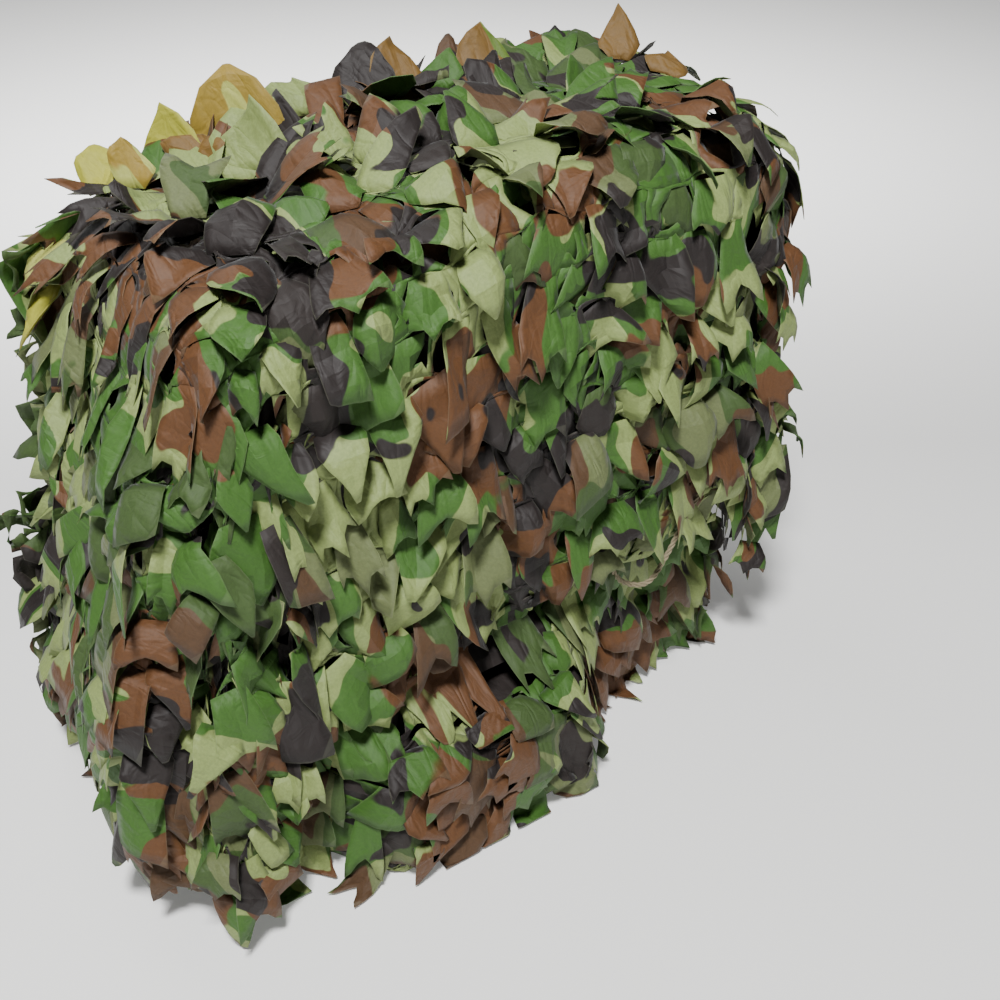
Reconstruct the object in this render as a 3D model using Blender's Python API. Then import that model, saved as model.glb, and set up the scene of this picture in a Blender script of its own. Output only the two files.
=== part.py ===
"""Camouflage net, folded back and forth into a bundle with its last layer draped over it.

Metres, +Z up. X runs along the folds, the front of the bundle faces -Y, and the bundle rests on z = 0.
The origin lies on the resting surface under the middle of the bundle.
"""

import math

import bmesh
import bpy
from mathutils import Vector, noise

# Moves the finished pieces so that the origin is under the middle of the bundle
FOOT_SHIFT = Vector((-0.00500, 0.01385, 0.0))

# Cloth
CLOTH_THICKNESS = 0.0022
CLOTH_COLOUR = (0.105, 0.165, 0.06, 1.0)
CLOTH_ROUGHNESS = 0.55

# Stack of folded layers
LAYERS = 26
LAYER_PITCH = 0.0192
STACK_TOP = 0.48
STACK_BACK = 0.128
STACK_FRONT = -0.104
FLAT_STATIONS = (0.0, 0.35, 0.7, 1.0)
FOLD_ANGLES = (-35.0, 35.0)

# The lip is where the lowest layers bulge forward; near the right end the front stands back instead
LIP_FRONT = -0.170
LIP_LEFT = -0.165
LIP_RIGHT = 0.075
LIP_TOP = 0.108
LIP_EDGE = 0.03
SETBACK = 0.035
SETBACK_LEFT = 0.02
SETBACK_RIGHT = 0.26
SETBACK_TOP = 0.42

# Fullness at mid height, and how far the folds draw in towards the top
BACK_BULGE = 0.012
BACK_DRAW = 0.020
FRONT_DRAW = 0.034
DRAW_START = 0.38

# Reach of the ends of the stack at several heights
END_COLUMNS = ("height", "left", "right")
END_TABLE = (
    (0.00, -0.290, 0.306),
    (0.12, -0.304, 0.314),
    (0.24, -0.276, 0.312),
    (0.36, -0.242, 0.286),
    (0.44, -0.212, 0.260),
    (0.48, -0.186, 0.240),
)

# Unevenness of the layers
SIDE_TIP = 0.012
CORNER_DRAW = 0.052
LEFT_SWAY = 0.010
RIGHT_SWAY = 0.008
FOLD_WAVE = 0.006
FOLD_WAVELENGTH = 0.06
SAG_WAVE = 0.005
SAG_WAVELENGTH = 0.11
END_SAG = 0.016
END_ZONE = 0.72
EDGE_SAG = 0.012
EDGE_ZONE = 0.5
CORNER_DEPTH = 0.35
SETTLE_START = 0.005
SETTLE_END = 0.06

# The top dips at the left end and climbs to the right
TOP_DIP = 0.012
TOP_RISE = 0.050
RISE_START = -0.24
RISE_END = 0.10

# Draped last layer: the flat top of the stack, and how far the cloth hangs beyond it
TOP_LEFT = -0.170
TOP_RIGHT = 0.240
TOP_BACK = 0.118
TOP_FRONT = -0.060
TOP_DEPTH = TOP_BACK - TOP_FRONT
DRAPE_TOP = 0.507
EDGE_RADIUS = 0.070
DRAPE_GAP = 0.023
FRONT_DROP = 0.404
LEFT_DROP = 0.345
RIGHT_DROP = 0.240
LEFT_BACK_SHARE = 0.5
CORNER_SPREAD = 0.022
SPREAD_TOP = 0.2
FLOOR_GAP = 0.005
FLOOR_BEND = 0.01
PLEATS = 3
PLEAT_DEPTH = 0.011
PLEAT_OFFSET = 0.4
PLEAT_FULL = 0.25
TOP_WAVE = 0.009
TOP_WAVELENGTH = 0.11
BACK_SWELL = 0.006
DRAPE_WAVE = 0.010
DRAPE_WAVELENGTH = 0.045

# Grid of the cloth: columns along the folds, rows across them
LEFT_COLUMNS = 16
TOP_COLUMNS = 24
RIGHT_COLUMNS = 12
TOP_ROWS = 5
FRONT_ROWS = 9
STACK_COLUMN_STEP = 3

# Leaves: V-shaped cuts in a brick pattern, hinged at their upper edge
LEAF_SPAN = 2
LEAF_PERIOD = 4
LEAF_LIFT = 0.017
LIFT_SPREAD = 0.8
STANDING_SHARE = 0.35
STANDING_LIFT = 0.024
TIP_PULL = 0.008
ROW_SHIFT = 0.006
HEM_TOOTH = 0.016
TOOTH_SPREAD = 0.6

# Edge rope: stops of its route along the draped layer, each a flat place p, how far it is below the
# hem line, and its height off the cloth
ROPE_ROUTE = (
    (-0.130, -0.026, -0.0047),
    (-0.070, -0.028, -0.0047),
    (0.000, -0.026, -0.0047),
    (0.065, -0.022, -0.0047),
    (0.105, -0.004, -0.0047),
    (0.128, 0.030, -0.004),
    (0.150, 0.033, 0.0050),
    (0.170, 0.010, 0.0050),
    (0.190, -0.018, 0.0042),
    (0.212, -0.044, 0.0042),
)
ROPE_POINTS_A_LEG = 7
ROPE_LEFT = 0.125
ROPE_RIGHT = 0.262
ROPE_ROWS = 3
ROPE_RADIUS = 0.0026
ROPE_COLOUR = (0.48, 0.42, 0.28, 1.0)
ROPE_ROUGHNESS = 0.8


def ramp(low, high, value):
    """Smooth step from 0 at low to 1 at high."""
    t = min(1.0, max(0.0, (value - low) / (high - low)))
    return t * t * (3.0 - 2.0 * t)


def table_value(column, height):
    """Value of a column of END_TABLE at a height."""
    index = END_COLUMNS.index(column)
    rows = END_TABLE
    if height <= rows[0][0]:
        return rows[0][index]
    for low, high in zip(rows, rows[1:]):
        if height <= high[0]:
            share = (height - low[0]) / (high[0] - low[0])
            return low[index] + share * (high[index] - low[index])
    return rows[-1][index]


def ripple(x, y, z, wavelength):
    """Soft unevenness between -1 and 1."""
    return noise.noise(Vector((x, y, z)) / wavelength)


def stack_front(x, z):
    """Y of the front folds: the lowest layers bulge forward between the drape's corners."""
    lip = ramp(LIP_LEFT - LIP_EDGE, LIP_LEFT + LIP_EDGE, x)
    lip *= 1.0 - ramp(LIP_RIGHT - LIP_EDGE, LIP_RIGHT + LIP_EDGE, x)
    lip *= 1.0 - ramp(LIP_TOP - LIP_EDGE, LIP_TOP + LIP_EDGE, z)
    setback = SETBACK * ramp(SETBACK_LEFT, SETBACK_RIGHT, x) * (1.0 - ramp(0.0, SETBACK_TOP, z))
    draw = FRONT_DRAW * ramp(DRAW_START, STACK_TOP, z)
    return STACK_FRONT + (LIP_FRONT - STACK_FRONT) * lip + setback + draw


def stack_back(z):
    """Y of the back folds, a little fuller at mid height."""
    return STACK_BACK + BACK_BULGE * math.sin(math.pi * z / STACK_TOP) - BACK_DRAW * ramp(DRAW_START, STACK_TOP, z)


def top_rise(x):
    """How far the top of the bundle is above its usual height."""
    return TOP_RISE * ramp(RISE_START, RISE_END, x) - TOP_DIP


def stack_point(s, station):
    """Point of the stack. s runs 0 to 1 from its left end to its right end."""
    share, z, fold, layer = station
    left = table_value("left", z) + LEFT_SWAY * math.sin(2.3 * layer)
    right = table_value("right", z) + RIGHT_SWAY * math.sin(1.7 * layer + 1.0)
    if 0.0 < share < 0.5:
        left -= SIDE_TIP
        right += SIDE_TIP
    corner = CORNER_DRAW * (1.0 - ramp(0.0, CORNER_DEPTH, share))
    x = left + corner + s * (right - left - 2.0 * corner)
    front = stack_front(x, z) + FOLD_WAVE * ripple(x, 0.0, 3.0 * z, FOLD_WAVELENGTH)
    back = stack_back(z) + FOLD_WAVE * ripple(x, 5.0, 3.0 * z, FOLD_WAVELENGTH)
    y = front + share * (back - front) + fold
    sag = SAG_WAVE * ripple(x, y, 0.0, SAG_WAVELENGTH)
    sag -= END_SAG * ramp(END_ZONE, 1.0, abs(2.0 * s - 1.0)) * ramp(0.1 * STACK_TOP, 0.6 * STACK_TOP, z)
    sag -= EDGE_SAG * ramp(EDGE_ZONE, 1.0, abs(2.0 * share - 1.0)) * ramp(0.3 * STACK_TOP, STACK_TOP, z)
    return Vector((x, y, z + ramp(SETTLE_START, SETTLE_END, z) * sag + top_rise(x) * z / STACK_TOP))


def stack_stations():
    """Stations of the back-and-forth section, from the lowest layer to the top one."""
    stations = []
    radius = 0.5 * LAYER_PITCH
    for layer in range(LAYERS):
        z = 0.5 * CLOTH_THICKNESS + layer * LAYER_PITCH
        backward = (LAYERS - 1 - layer) % 2 == 0
        for step in FLAT_STATIONS:
            stations.append((step if backward else 1.0 - step, z, 0.0, layer))
        if layer == LAYERS - 1:
            break
        side = 1.0 if backward else -1.0
        for angle in FOLD_ANGLES:
            turn = math.radians(angle)
            height = z + radius + radius * math.sin(turn)
            stations.append((0.5 + 0.5 * side, height, side * radius * math.cos(turn), layer))
    return stations


def hang(distance):
    """How far out and how far down a strip lies that runs this far past a rounded top edge."""
    quarter = 0.5 * math.pi * EDGE_RADIUS
    if distance < quarter:
        turn = distance / EDGE_RADIUS
        return EDGE_RADIUS * math.sin(turn), EDGE_RADIUS * (1.0 - math.cos(turn))
    return EDGE_RADIUS, EDGE_RADIUS + distance - quarter


def drape_point(p, q):
    """Point of the draped layer. p runs along X, q from the back edge of the top over the front edge."""
    sideways = max(0.0, TOP_LEFT - p, p - TOP_RIGHT)
    sign = -1.0 if p < 0.5 * (TOP_LEFT + TOP_RIGHT) else 1.0
    sideways *= LEFT_BACK_SHARE + (1.0 - LEFT_BACK_SHARE) * ramp(0.0, TOP_DEPTH, q)
    forward = max(0.0, q - TOP_DEPTH)
    distance = math.hypot(sideways, forward)
    base_x = min(TOP_RIGHT, max(TOP_LEFT, p))
    base_y = TOP_BACK - min(q, TOP_DEPTH)
    top = DRAPE_TOP + top_rise(base_x) + TOP_WAVE * ripple(p, q, 2.0, TOP_WAVELENGTH)
    top += BACK_SWELL * ramp(TOP_DEPTH, 0.0, q)
    if distance == 0.0:
        return Vector((base_x, base_y, top))
    side = sideways / distance
    front = forward / distance
    out, drop = hang(distance)
    floor = CLOTH_THICKNESS + FLOOR_GAP
    z = floor + 0.5 * (top - drop - floor + math.hypot(top - drop - floor, FLOOR_BEND))
    loose = ramp(0.0, 2.0 * EDGE_RADIUS, distance)
    end = table_value("left", z) if sign < 0.0 else table_value("right", z)
    side_room = abs(end - base_x) - EDGE_RADIUS + DRAPE_GAP
    front_room = base_y - EDGE_RADIUS - stack_front(base_x + 0.5 * sign * side * EDGE_RADIUS, z) + DRAPE_GAP
    room = side * side * max(0.0, side_room) + front * front * max(0.0, front_room)
    angle = math.atan2(front, side)
    pleat = PLEAT_DEPTH * math.sin(2.0 * angle) * (PLEAT_OFFSET - math.cos(4.0 * PLEATS * angle))
    pleat *= ramp(EDGE_RADIUS, PLEAT_FULL, distance)
    wave = DRAPE_WAVE * ripple(0.6 * p, 0.25 * q, 7.0, DRAPE_WAVELENGTH)
    spread = CORNER_SPREAD * math.sin(2.0 * angle) * ramp(SPREAD_TOP, 0.0, z)
    reach = out + loose * (room + wave) + pleat + spread
    return Vector((base_x + sign * side * reach, base_y - front * reach, z))


def drape_normal(p, q):
    """Outward direction of the draped layer."""
    step = 0.004
    along = drape_point(p + step, q) - drape_point(p - step, q)
    across = drape_point(p, q + step) - drape_point(p, q - step)
    return across.cross(along).normalized()


def column_place(i):
    """Flat place of a column line of the draped layer."""
    if i < LEFT_COLUMNS:
        return TOP_LEFT - LEFT_DROP * (LEFT_COLUMNS - i) / LEFT_COLUMNS
    if i > LEFT_COLUMNS + TOP_COLUMNS:
        return TOP_RIGHT + RIGHT_DROP * (i - LEFT_COLUMNS - TOP_COLUMNS) / RIGHT_COLUMNS
    return TOP_LEFT + (TOP_RIGHT - TOP_LEFT) * (i - LEFT_COLUMNS) / TOP_COLUMNS


def row_place(r):
    """Flat place of a row line of the draped layer."""
    if r <= TOP_ROWS:
        return TOP_DEPTH * r / TOP_ROWS
    return TOP_DEPTH + FRONT_DROP * (r - TOP_ROWS) / FRONT_ROWS


def chance(i, j, kind):
    """A repeatable number between 0 and 1 for a place in the grid."""
    value = math.sin(12.9898 * i + 78.233 * j + 37.719 * kind) * 43758.5453
    return value - math.floor(value)


def material(name, colour, roughness):
    """A plain surface of one colour."""
    made = bpy.data.materials.new(name)
    made.use_nodes = True
    shader = made.node_tree.nodes["Principled BSDF"]
    shader.inputs["Base Color"].default_value = colour
    shader.inputs["Roughness"].default_value = roughness
    shader.inputs["Metallic"].default_value = 0.0
    return made


def net_cloth():
    """The whole net as one sheet: the back-and-forth stack, then the slit layer draped over it."""
    stack = stack_stations()
    fold_rows = len(FOLD_ANGLES)
    drape_start = len(stack) + fold_rows
    columns = LEFT_COLUMNS + TOP_COLUMNS + RIGHT_COLUMNS
    rows = drape_start + TOP_ROWS + FRONT_ROWS
    bm = bmesh.new()
    bmesh.ops.create_grid(bm, x_segments=columns, y_segments=rows, size=1.0)

    def line_of(vert):
        """Column and row line of a vertex of the flat grid, row 0 at the inner end of the cloth."""
        return round(0.5 * (vert.co.x + 1.0) * columns), round(0.5 * (1.0 - vert.co.y) * rows)

    trim_beside_stack(bm, line_of, drape_start)
    coarsen_stack(bm, line_of, drape_start)
    cut_leaves(bm, line_of, drape_start, columns, rows)
    tips = leaf_tips(bm, line_of, drape_start)
    places = {}
    for vert in bm.verts:
        i, j = line_of(vert)
        if j < len(stack):
            share = (i - LEFT_COLUMNS) / TOP_COLUMNS
            places[vert] = stack_point(share, stack[j])
        elif j < drape_start:
            places[vert] = top_fold_point(i, j - len(stack), stack[-1])
        else:
            places[vert] = drape_vertex(i, j - drape_start, vert in tips)
    for vert, place in places.items():
        vert.co = place
    bmesh.ops.triangulate(bm, faces=bm.faces[:])
    bmesh.ops.recalc_face_normals(bm, faces=bm.faces[:])
    return finish("net_cloth", bm, material("printed_polyester", CLOTH_COLOUR, CLOTH_ROUGHNESS))


def trim_beside_stack(bm, line_of, drape_start):
    """Takes the grid away where the stack is narrower than the draped layer."""
    outside = []
    for face in bm.faces:
        lines = [line_of(vert) for vert in face.verts]
        left = min(i for i, j in lines)
        right = max(i for i, j in lines)
        beside = left < LEFT_COLUMNS or right > LEFT_COLUMNS + TOP_COLUMNS
        if beside and min(j for i, j in lines) < drape_start:
            outside.append(face)
    bmesh.ops.delete(bm, geom=outside, context="FACES")


def coarsen_stack(bm, line_of, drape_start):
    """Keeps every third column line in the stack, whose layers are plain."""
    extra = []
    for edge in bm.edges:
        (i, j), (other_i, other_j) = [line_of(vert) for vert in edge.verts]
        inner = (i - LEFT_COLUMNS) % STACK_COLUMN_STEP != 0
        if i == other_i and inner and max(j, other_j) < drape_start:
            extra.append(edge)
    bmesh.ops.dissolve_edges(bm, edges=extra, use_verts=True)


def cut_leaves(bm, line_of, drape_start, columns, rows):
    """Slits each leaf free along its two lower sides."""
    grid = {}
    for vert in bm.verts:
        grid[line_of(vert)] = vert
    for j in range(drape_start + 1, rows):
        shift = LEAF_PERIOD // 2 * (j % 2)
        for i in range(1 + shift, columns - LEAF_SPAN, LEAF_PERIOD):
            if j >= rows - ROPE_ROWS and ROPE_LEFT < column_place(i + 1) < ROPE_RIGHT:
                continue
            tip = grid[i + 1, j + 1]
            bmesh.ops.connect_verts(bm, verts=[grid[i, j], tip])
            bmesh.ops.connect_verts(bm, verts=[grid[i + LEAF_SPAN, j], tip])
    slits = []
    for edge in bm.edges:
        (i, j), (other_i, other_j) = [line_of(vert) for vert in edge.verts]
        if i != other_i and j != other_j:
            slits.append(edge)
    bmesh.ops.split_edges(bm, edges=slits)


def leaf_tips(bm, line_of, drape_start):
    """The vertices that are the free tips of leaves: two triangles meet there, both hinged one row above."""
    tips = set()
    for vert in bm.verts:
        row = line_of(vert)[1]
        if row <= drape_start or len(vert.link_faces) != 2:
            continue
        hinged = 0
        for face in vert.link_faces:
            above = sum(line_of(corner)[1] == row - 1 for corner in face.verts)
            hinged += len(face.verts) == 3 and above == 2
        if hinged == 2:
            tips.add(vert)
    return tips


def top_fold_point(i, step, last_station):
    """Point of the fold that joins the stack's top layer to the draped layer at the back."""
    share = (i - LEFT_COLUMNS) / TOP_COLUMNS
    low = stack_point(share, last_station)
    high = drape_point(column_place(i), 0.0)
    turn = math.radians(FOLD_ANGLES[step])
    middle = 0.5 * (low + high)
    radius = 0.5 * (high.z - low.z)
    blend = 0.5 + 0.5 * math.sin(turn)
    x = low.x + blend * (high.x - low.x)
    y = low.y + blend * (high.y - low.y) + radius * math.cos(turn)
    return Vector((x, y, middle.z + radius * math.sin(turn)))


def drape_vertex(i, r, is_tip):
    """Place of a grid point of the draped layer; leaf tips lift off it."""
    last_row = TOP_ROWS + FRONT_ROWS
    p = column_place(i)
    q = row_place(r)
    if 0 < r < last_row:
        q += ROW_SHIFT * (chance(i, r, 1) - 0.5)
    if r == last_row:
        q += HEM_TOOTH * (i % 2 + TOOTH_SPREAD * (chance(i, r, 2) - 0.5))
    if is_tip:
        lift = LEAF_LIFT * (1.0 + LIFT_SPREAD * (chance(i, r, 3) - 0.5))
        if r <= TOP_ROWS and chance(i, r, 4) < STANDING_SHARE:
            lift += STANDING_LIFT
        return drape_point(p, q - TIP_PULL) + lift * drape_normal(p, q)
    return drape_point(p, q)


def smooth_route(points, steps):
    """Points along a smooth curve through the given ones."""
    ends = [2.0 * points[0] - points[1]] + points + [2.0 * points[-1] - points[-2]]
    route = []
    for before, start, end, after in zip(ends, ends[1:], ends[2:], ends[3:]):
        for step in range(steps):
            t = step / steps
            bend = (2.0 * before - 5.0 * start + 4.0 * end - after) * t * t
            bend += (3.0 * start - before - 3.0 * end + after) * t * t * t
            route.append(start + 0.5 * ((end - before) * t + bend))
    route.append(points[-1])
    return route


def edge_rope():
    """The cord at the end edge of the net: behind the hem, under it and out in front at the right."""
    hem = TOP_DEPTH + FRONT_DROP
    stops = []
    for p, below, off in ROPE_ROUTE:
        stops.append(drape_point(p, hem + below) + off * drape_normal(p, hem + below))
    route = smooth_route(stops, ROPE_POINTS_A_LEG)
    curve = bpy.data.curves.new("edge_rope", "CURVE")
    curve.dimensions = "3D"
    curve.bevel_depth = ROPE_RADIUS
    curve.bevel_resolution = 2
    curve.use_fill_caps = True
    spline = curve.splines.new("POLY")
    spline.points.add(len(route) - 1)
    for point, place in zip(spline.points, route):
        point.co = (*place, 1.0)
    curve.materials.append(material("twisted_cord", ROPE_COLOUR, ROPE_ROUGHNESS))
    made = bpy.data.objects.new("edge_rope", curve)
    made.location = FOOT_SHIFT
    bpy.context.scene.collection.objects.link(made)
    return made


def finish(name, bm, surface):
    """Makes the object and gives the sheet its thickness."""
    mesh = bpy.data.meshes.new(name)
    bm.to_mesh(mesh)
    bm.free()
    made = bpy.data.objects.new(name, mesh)
    made.location = FOOT_SHIFT
    bpy.context.scene.collection.objects.link(made)
    mesh.materials.append(surface)
    mesh.shade_smooth()
    thick = made.modifiers.new("Thickness", "SOLIDIFY")
    thick.thickness = CLOTH_THICKNESS
    thick.offset = 0.0
    thick.use_even_offset = False
    return made


def main():
    for old in list(bpy.data.objects):
        bpy.data.objects.remove(old, do_unlink=True)
    net_cloth()
    edge_rope()


main()
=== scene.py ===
"""Camouflage net bundle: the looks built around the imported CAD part, laid out as an add-on.

Metres, +Z up, the front of the bundle faces -Y. The cloth's flat places are p along the folds
and q from the back of the top over the front edge, both in metres on the flat sheet.
"""

import math
import random

import bmesh
import bpy
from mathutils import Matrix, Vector, noise


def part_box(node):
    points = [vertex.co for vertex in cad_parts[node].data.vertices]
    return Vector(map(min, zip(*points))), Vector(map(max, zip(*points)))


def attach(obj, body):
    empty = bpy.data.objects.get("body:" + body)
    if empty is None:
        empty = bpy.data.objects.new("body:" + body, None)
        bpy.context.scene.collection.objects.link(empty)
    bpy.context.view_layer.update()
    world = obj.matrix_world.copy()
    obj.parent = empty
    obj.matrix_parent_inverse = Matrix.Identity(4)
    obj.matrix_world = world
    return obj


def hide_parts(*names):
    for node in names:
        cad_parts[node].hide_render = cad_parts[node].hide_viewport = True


bl_info = {
    "name": "Camouflage Net Bundle",
    "version": (1, 0, 0),
    "blender": (4, 5, 0),
    "location": "View3D > Sidebar > Net",
    "description": "Builds a folded camouflage net with hanging leaves, its edge rope and a studio",
    "category": "Object",
}

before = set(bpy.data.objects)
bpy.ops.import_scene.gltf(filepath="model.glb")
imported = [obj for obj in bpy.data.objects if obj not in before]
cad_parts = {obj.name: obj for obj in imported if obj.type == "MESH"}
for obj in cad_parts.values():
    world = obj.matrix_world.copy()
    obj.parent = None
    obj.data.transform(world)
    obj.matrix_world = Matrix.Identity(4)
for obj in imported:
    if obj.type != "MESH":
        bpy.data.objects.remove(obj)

# Moves the finished pieces so that the origin is under the middle of the bundle
FOOT_SHIFT = Vector((-0.00500, 0.01385, 0.0))

SHEET_HALF = 0.0011

# Stack of folded layers
LAYERS = 26
LAYER_PITCH = 0.0192
STACK_TOP = 0.48
STACK_BACK = 0.128
STACK_FRONT = -0.104
FLAT_STATIONS = (0.0, 0.35, 0.7, 1.0)
FOLD_ANGLES = (-60.0, 0.0, 60.0)

# The lip is where the lowest layers bulge forward; near the right end the front stands back instead
LIP_FRONT = -0.170
LIP_LEFT = -0.165
LIP_RIGHT = 0.075
LIP_TOP = 0.108
LIP_EDGE = 0.03
SETBACK = 0.035
SETBACK_LEFT = 0.02
SETBACK_RIGHT = 0.26
SETBACK_TOP = 0.42

# Fullness at mid height, and how far the folds draw in towards the top
BACK_BULGE = 0.012
BACK_DRAW = 0.020
FRONT_DRAW = 0.034
DRAW_START = 0.38

# Reach of the ends of the stack at several heights
END_COLUMNS = ("height", "left", "right")
END_TABLE = (
    (0.00, -0.290, 0.306),
    (0.12, -0.304, 0.314),
    (0.24, -0.276, 0.312),
    (0.36, -0.242, 0.286),
    (0.44, -0.212, 0.260),
    (0.48, -0.186, 0.240),
)

# Unevenness of the layers
SIDE_TIP = 0.012
CORNER_DRAW = 0.052
LEFT_SWAY = 0.010
RIGHT_SWAY = 0.008
FOLD_WAVE = (0.002, 0.06)
SAG_WAVE = (0.005, 0.11)
END_SAG = 0.016
END_ZONE = 0.72
EDGE_SAG = 0.012
EDGE_ZONE = 0.5
CORNER_DEPTH = 0.35
SETTLE_START = 0.005
SETTLE_END = 0.06

# The top dips at the left end and climbs to the right
TOP_DIP = 0.012
TOP_RISE = 0.050
RISE_START = -0.24
RISE_END = 0.10

# Draped last layer: the flat top of the stack, and how far the cloth hangs beyond it
TOP_LEFT = -0.170
TOP_RIGHT = 0.240
TOP_BACK = 0.118
TOP_FRONT = -0.060
TOP_DEPTH = TOP_BACK - TOP_FRONT
DRAPE_TOP = 0.507
EDGE_RADIUS = 0.070
BACK_RADIUS = 0.020
DRAPE_GAP = 0.023
FRONT_DROP = 0.404
LEFT_DROP = 0.345
RIGHT_DROP = 0.240
LEFT_BACK_SHARE = 0.5
CORNER_SPREAD = 0.022
SPREAD_TOP = 0.2
FLOOR_HEIGHT = 0.0072
FLOOR_BEND = 0.01
FLOOR_SPILL = 0.030
SPILL_SHARE = 0.15
PLEATS = 3
PLEAT_DEPTH = 0.011
PLEAT_OFFSET = 0.4
PLEAT_FULL = 0.25
TOP_WAVE = (0.009, 0.11)
BACK_SWELL = 0.006
DRAPE_WAVE = (0.010, 0.045)

HEM = TOP_DEPTH + FRONT_DROP

# Outlines of the leaves: name, share of them, half widths from hinge to tip, how far down each line
# across reaches, and sideways lean of the tip
EVEN = (1.00, 1.00, 1.00, 1.00, 1.00, 1.00, 1.00)
SHAPES = (
    ("thorn", 4, (0.80, 1.00, 0.82, 0.54, 0.30, 0.10), EVEN, 0.10),
    ("tongue", 2, (0.60, 0.92, 1.00, 0.90, 0.58, 0.08), EVEN, 0.05),
    ("kite", 3, (0.45, 0.78, 1.00, 0.76, 0.42, 0.07), EVEN, -0.12),
    ("wing", 7, (0.60, 0.74, 0.86, 0.96, 1.02, 1.04), (0.90, 0.78, 0.82, 1.04, 0.80, 0.74, 0.86), 0.10),
    ("square", 4, (0.66, 0.78, 0.84, 0.88, 0.90, 0.88), (0.84, 0.90, 0.92, 0.94, 0.97, 0.99, 1.02), 0.12),
    ("round", 1, (0.50, 0.84, 1.00, 1.04, 0.94, 0.66), (0.76, 0.92, 0.99, 1.00, 0.99, 0.92, 0.76), 0.0),
    ("fork", 4, (0.52, 0.66, 0.82, 0.94, 1.00, 1.02), (0.98, 0.92, 0.78, 0.70, 0.76, 0.88, 0.94), 0.0),
    ("hook", 3, (0.72, 0.92, 0.84, 0.66, 0.44, 0.12), EVEN, 0.45),
)

# Places where one colour of the print gathers: x, z, reach along x, reach along z, colour, strength
BIAS_SPOTS = (
    (-0.165, 0.300, 0.050, 0.085, "black", 1.0),
    (-0.010, 0.330, 0.060, 0.060, "green", 1.0),
    (-0.050, 0.185, 0.055, 0.050, "brown", 1.0),
    (-0.080, 0.060, 0.110, 0.050, "brown", 1.0),
    (0.060, 0.060, 0.060, 0.050, "brown", 0.8),
    (-0.210, 0.520, 0.080, 0.070, "brown", 0.8),
    (0.070, 0.500, 0.060, 0.050, "brown", 0.5),
    (0.040, 0.430, 0.050, 0.060, "black", 0.7),
    (-0.230, 0.060, 0.060, 0.060, "brown", 0.6),
    (-0.255, 0.400, 0.065, 0.085, "pale", 0.80),
    (-0.235, 0.390, 0.055, 0.080, "green", 1.30),
    (-0.085, 0.300, 0.035, 0.060, "pale", 0.8),
    (-0.170, 0.120, 0.050, 0.040, "pale", 0.4),
)
BIAS_ORDER = ("green", "brown", "black")
# Painted shade: the sheet under the leaves has its print pushed to black, so that the holes between the
# leaves read dark
INNER_PAINTED_SHADE_BIAS = (0.0, 0.0, 2.0)

# Edges sharper than this stay crisp, as a fold pressed into the cloth does
CREASE_ANGLE = math.radians(13.0)

# Grid of a leaf, the heights at which its rows lie on the floor, and how far it slides out there
LEAF_COLUMNS = 6
LEAF_ROWS = 5
LEAF_FLOOR = 0.0012
ROW_STEP = 0.0006
FLOOR_SLIDE = 0.6

# Folds of a leaf: along it and across it
KEELS = (0.0, -0.8, 0.6, -0.5)
BENDS = (0.0, 0.5, -0.6, 0.9)

# Cells of the cut cloth: how far its holes are drawn in, and how uneven it lies
GATHER = 0.86
HOLE_SHARE = 0.88
UNDER_CELL = 1.12
WOBBLE = (0.012, 0.030)
SWELL = (0.004, 0.035)
SWELL_SHIFT = 40.0

# Where the cloth is gathered in or spread out, as shares of its flat size, a leaf is rigid and narrow
GATHERED = (0.55, 0.85)
SPREAD_OUT = (1.35, 1.05)
NARROWED = (0.2, 0.8)
NARROW = 0.80

# How far apart the points are that give a surface's direction, and its size
SURFACE_STEP = 0.004
FULLNESS_STEP = 0.006

# Above this share of upright a leaf points down the flat cloth, below it straight down
STEEP = 0.6

# Walls of leaves: how far off the stack they lie
END_OFFSET = 0.006
BACK_OFFSET = 0.003
FRONT_OFFSET = 0.005
WALL_DEPTH = -0.004
RECESS_SKIP = 0.40
RECESS_LIMIT = 0.006
FOOT_HEIGHT = 0.02
FOOT_WALL_LIMIT = 0.010
WALL_STRAY = 0.35

# Rows of the draped layer: how many hang over the back edge, how far leaves reach past the hem and ends
BACK_ROWS = 3
FIRST_ROW = 0.3
HEM_TIP = 0.020
END_DROP = 0.140
END_TUCK = 0.014
CORNER_REACH = 0.500
UNDER_DEPTH = -0.0115
UNDER_FULL = 0.75
DRAPED_FULL = 1.5

# Most of the leaves on the top point away from the front, the other ones towards it. A leaf strays a
# little to either side, and more on the top
AWAY_TURN = 2.53
AWAY_SHARE = 0.8
STRAY = 0.26
TOP_STRAY = 2.5

# Most that the leaves stand off the cloth: on the top and where its leaves reach highest, at the back,
# on the front, at the ends and in the layer under it
TOP_LIMIT = 0.034
SPIKE_START = 0.17
SPIKE_LIMIT = 0.020
BACK_LIMIT = 0.018
HANG_LIMIT = 0.030
RIGHT_LIMIT = 0.018
LEFT_LIMIT = 0.016
UNDER_LIMIT = 0.012
STANDING_LIMIT = 0.060

# Leaves near the floor spread; those at the left end hang as long strips
FOOT_TOP = 0.12
FOOT_BOTTOM = 0.03
FOOT_LIFT = 0.4
FOOT_LIMIT = 0.020
STRIP_START = 0.03
STRIP_END = 0.16
STRIP_LENGTH = 1.25
STRIP_WIDTH = 0.5
STRIP_CALM = 0.6

# Parts of the print that the layers show, how far it strays, and how often the reverse shows; the layer
# underneath shows the darker reverse more often, as painted shade
DRAPED_PRINT = (0.0, 0.0)
UNDER_PRINT = (0.37, 0.21)
FOLDED_PRINT = (0.11, 0.43)
PRINT_STRAY = 0.010
REVERSE_SHARE = 0.20
UNDER_REVERSE_SHARE = 0.40
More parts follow.
